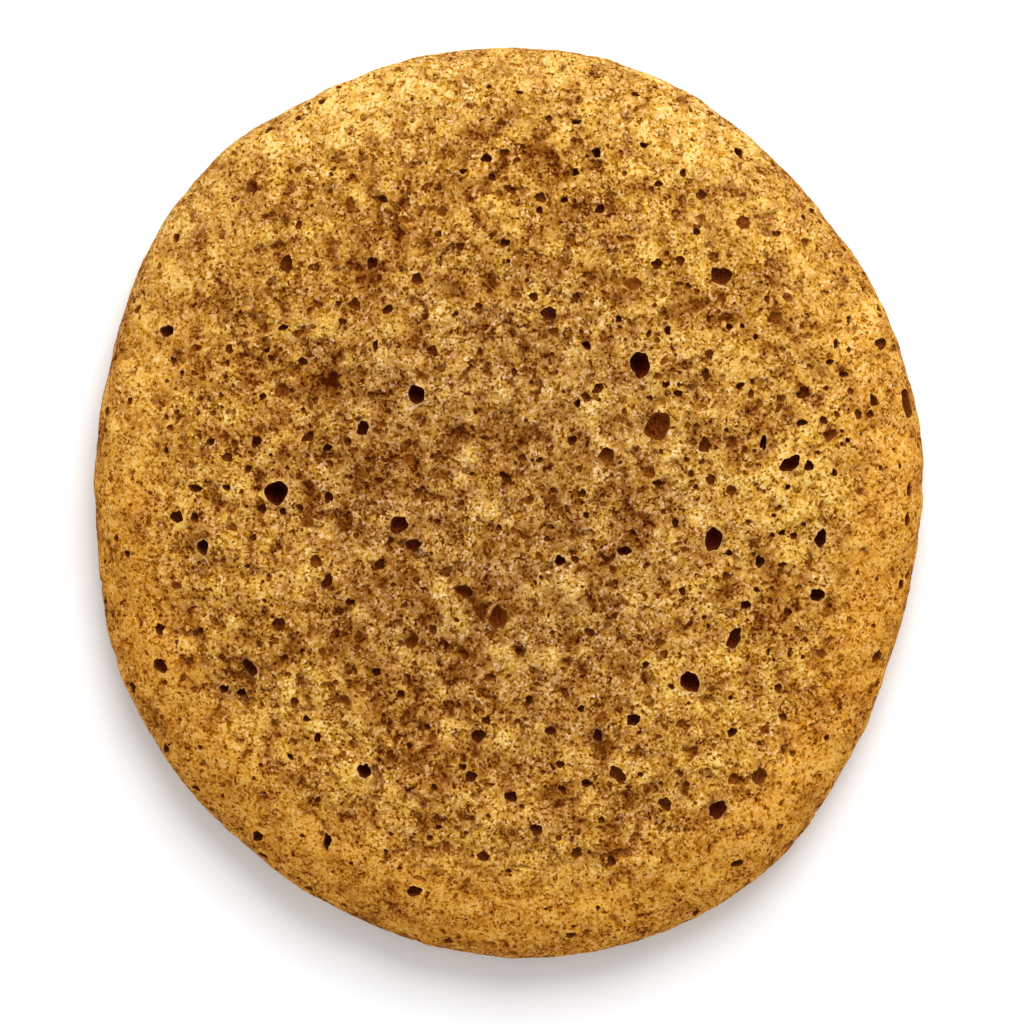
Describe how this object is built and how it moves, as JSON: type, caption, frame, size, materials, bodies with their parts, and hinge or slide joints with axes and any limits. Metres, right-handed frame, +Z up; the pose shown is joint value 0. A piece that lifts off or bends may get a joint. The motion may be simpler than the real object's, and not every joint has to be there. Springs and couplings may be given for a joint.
{
  "type": "peanut butter cookie",
  "caption": "Round soft-baked peanut butter cookie with a level, pitted face, a rounded shoulder and a flat base, lying face up.",
  "frame": {"origin": "centre of the cookie's footprint, on the plane of its flat base", "axes": "+Z up out of the pitted face, +Y along the cookie's longer diameter, +X along its shorter one"},
  "size_m": [0.0754, 0.0828, 0.0106],
  "materials": {
    "baked_crumb": "golden-brown baked crumb, matte and finely pored, browner in the middle"
  },
  "bodies": {
    "root": {"cookie": "baked_crumb"}
  },
  "joints": []
}
